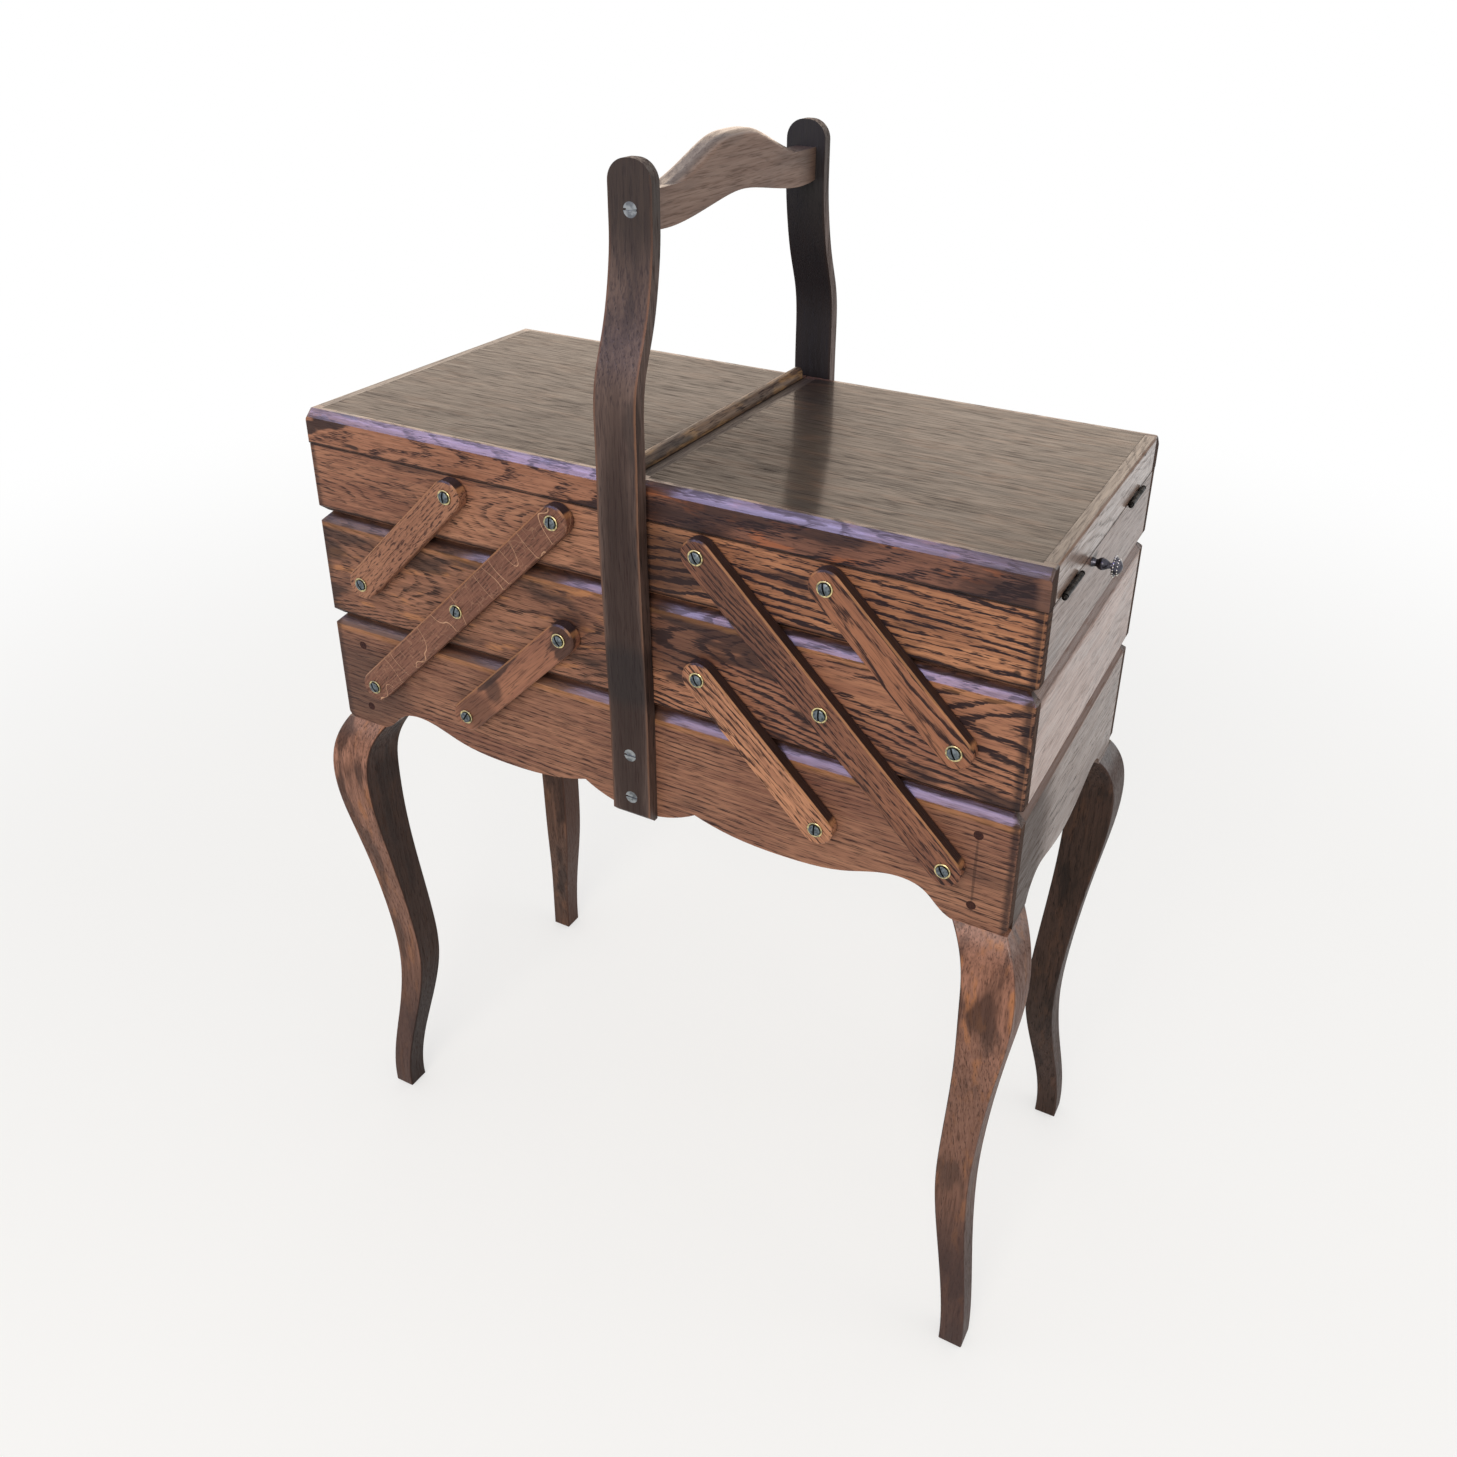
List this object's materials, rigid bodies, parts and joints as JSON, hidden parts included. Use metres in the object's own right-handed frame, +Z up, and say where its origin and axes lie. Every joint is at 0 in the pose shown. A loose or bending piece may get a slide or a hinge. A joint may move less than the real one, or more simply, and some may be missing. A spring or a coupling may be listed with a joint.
{
  "type": "cantilever sewing box",
  "caption": "Wooden cantilever sewing box on cabriole legs, with stepped trays that fold out on wooden arms, hinged lids and a bar handle.",
  "frame": {"origin": "on the floor under the middle of the box", "axes": "+X along the box to its right end, -Y out of the front, +Z up"},
  "size_m": [0.538, 0.2646, 0.7829],
  "materials": {
    "case_oak": "dark stained varnish, satin",
    "lid_oak": "dark stained varnish, satin",
    "arm_oak": "stained varnish, satin",
    "leg_oak": "dark stained varnish, satin",
    "handle_oak": "dark stained varnish, worn",
    "floor_sheet": "plain sheet, matt",
    "peg_wood": "dark end grain",
    "pivot_brass": "tarnished",
    "screw_steel": "dull",
    "hinge_iron": "blackened, satin",
    "knob_brass": "darkened"
  },
  "bodies": {
    "base": {"base_front_panel": "case_oak", "base_rear_panel": "case_oak", "base_left_end": "case_oak", "base_right_end": "case_oak", "base_floor": "floor_sheet", "leg_front_left": "leg_oak", "leg_front_right": "leg_oak", "leg_rear_left": "leg_oak", "leg_rear_right": "leg_oak", "handle_upright_front": "handle_oak", "handle_upright_rear": "handle_oak", "handle_bar": "handle_oak", "handle_screws": "screw_steel", "base_pegs": "peg_wood", "base_pivots": "pivot_brass"},
    "left_mid_tray": {"left_mid_tray_front": "case_oak", "left_mid_tray_rear": "case_oak", "left_mid_tray_outer_end": "case_oak", "left_mid_tray_inner_end": "case_oak", "left_mid_tray_floor": "floor_sheet", "left_mid_tray_pivots": "pivot_brass"},
    "left_top_tray": {"left_top_tray_front": "case_oak", "left_top_tray_rear": "case_oak", "left_top_tray_outer_end": "case_oak", "left_top_tray_inner_end": "case_oak", "left_top_tray_floor": "floor_sheet", "left_top_tray_pivots": "pivot_brass", "left_top_tray_knob": "knob_brass", "left_top_tray_hinge_leaves": "hinge_iron"},
    "left_lid": {"left_lid_panel": "lid_oak", "left_lid_long_rails": "lid_oak", "left_lid_end_rails": "lid_oak", "left_lid_hinge_leaves": "hinge_iron", "lid_centre_strip": "lid_oak"},
    "left_long_arms": {"left_long_arms": "arm_oak"},
    "left_upper_short_arms": {"left_upper_short_arms": "arm_oak"},
    "left_lower_short_arms": {"left_lower_short_arms": "arm_oak"},
    "right_mid_tray": {"right_mid_tray_front": "case_oak", "right_mid_tray_rear": "case_oak", "right_mid_tray_outer_end": "case_oak", "right_mid_tray_inner_end": "case_oak", "right_mid_tray_floor": "floor_sheet", "right_mid_tray_pivots": "pivot_brass"},
    "right_top_tray": {"right_top_tray_front": "case_oak", "right_top_tray_rear": "case_oak", "right_top_tray_outer_end": "case_oak", "right_top_tray_inner_end": "case_oak", "right_top_tray_floor": "floor_sheet", "right_top_tray_pivots": "pivot_brass", "right_top_tray_knob": "knob_brass", "right_top_tray_hinge_leaves": "hinge_iron"},
    "right_lid": {"right_lid_panel": "lid_oak", "right_lid_long_rails": "lid_oak", "right_lid_end_rails": "lid_oak", "right_lid_hinge_leaves": "hinge_iron"},
    "right_long_arms": {"right_long_arms": "arm_oak"},
    "right_upper_short_arms": {"right_upper_short_arms": "arm_oak"},
    "right_lower_short_arms": {"right_lower_short_arms": "arm_oak"}
  },
  "joints": [
    {"name": "left_fold", "type": "hinge", "parent": "base", "child": "left_long_arms", "pos_m": [-0.212, 0, 0.4085], "axis": [0, -1, 0], "range_deg": [0, 90.7]},
    {"name": "left_mid_tray_level", "type": "hinge", "parent": "left_long_arms", "child": "left_mid_tray", "pos_m": [-0.131, 0, 0.4885], "axis": [0, -1, 0], "range_deg": [-90.7, 0]},
    {"name": "left_top_tray_level", "type": "hinge", "parent": "left_long_arms", "child": "left_top_tray", "pos_m": [-0.05, 0, 0.5685], "axis": [0, -1, 0], "range_deg": [-90.7, 0]},
    {"name": "left_lower_short_fold", "type": "hinge", "parent": "base", "child": "left_lower_short_arms", "pos_m": [-0.131, 0, 0.4085], "axis": [0, -1, 0], "range_deg": [0, 90.7]},
    {"name": "left_upper_short_fold", "type": "hinge", "parent": "left_mid_tray", "child": "left_upper_short_arms", "pos_m": [-0.212, 0, 0.4885], "axis": [0, -1, 0], "range_deg": [0, 90.7]},
    {"name": "left_lid_hinge", "type": "hinge", "parent": "left_top_tray", "child": "left_lid", "pos_m": [-0.2534, 0, 0.5797], "axis": [0, -1, 0], "range_deg": [0, 92]},
    {"name": "right_fold", "type": "hinge", "parent": "base", "child": "right_long_arms", "pos_m": [0.212, 0, 0.4085], "axis": [0, 1, 0], "range_deg": [0, 90.7]},
    {"name": "right_mid_tray_level", "type": "hinge", "parent": "right_long_arms", "child": "right_mid_tray", "pos_m": [0.131, 0, 0.4885], "axis": [0, 1, 0], "range_deg": [-90.7, 0]},
    {"name": "right_top_tray_level", "type": "hinge", "parent": "right_long_arms", "child": "right_top_tray", "pos_m": [0.05, 0, 0.5685], "axis": [0, 1, 0], "range_deg": [-90.7, 0]},
    {"name": "right_lower_short_fold", "type": "hinge", "parent": "base", "child": "right_lower_short_arms", "pos_m": [0.131, 0, 0.4085], "axis": [0, 1, 0], "range_deg": [0, 90.7]},
    {"name": "right_upper_short_fold", "type": "hinge", "parent": "right_mid_tray", "child": "right_upper_short_arms", "pos_m": [0.212, 0, 0.4885], "axis": [0, 1, 0], "range_deg": [0, 90.7]},
    {"name": "right_lid_hinge", "type": "hinge", "parent": "right_top_tray", "child": "right_lid", "pos_m": [0.2534, 0, 0.5797], "axis": [0, 1, 0], "range_deg": [0, 92]}
  ],
  "couplings": [
    {"joint": "left_mid_tray_level", "follows": "left_fold", "ratio": -1},
    {"joint": "left_top_tray_level", "follows": "left_fold", "ratio": -1},
    {"joint": "left_lower_short_fold", "follows": "left_fold", "ratio": 1},
    {"joint": "left_upper_short_fold", "follows": "left_fold", "ratio": 1},
    {"joint": "right_mid_tray_level", "follows": "right_fold", "ratio": -1},
    {"joint": "right_top_tray_level", "follows": "right_fold", "ratio": -1},
    {"joint": "right_lower_short_fold", "follows": "right_fold", "ratio": 1},
    {"joint": "right_upper_short_fold", "follows": "right_fold", "ratio": 1}
  ]
}
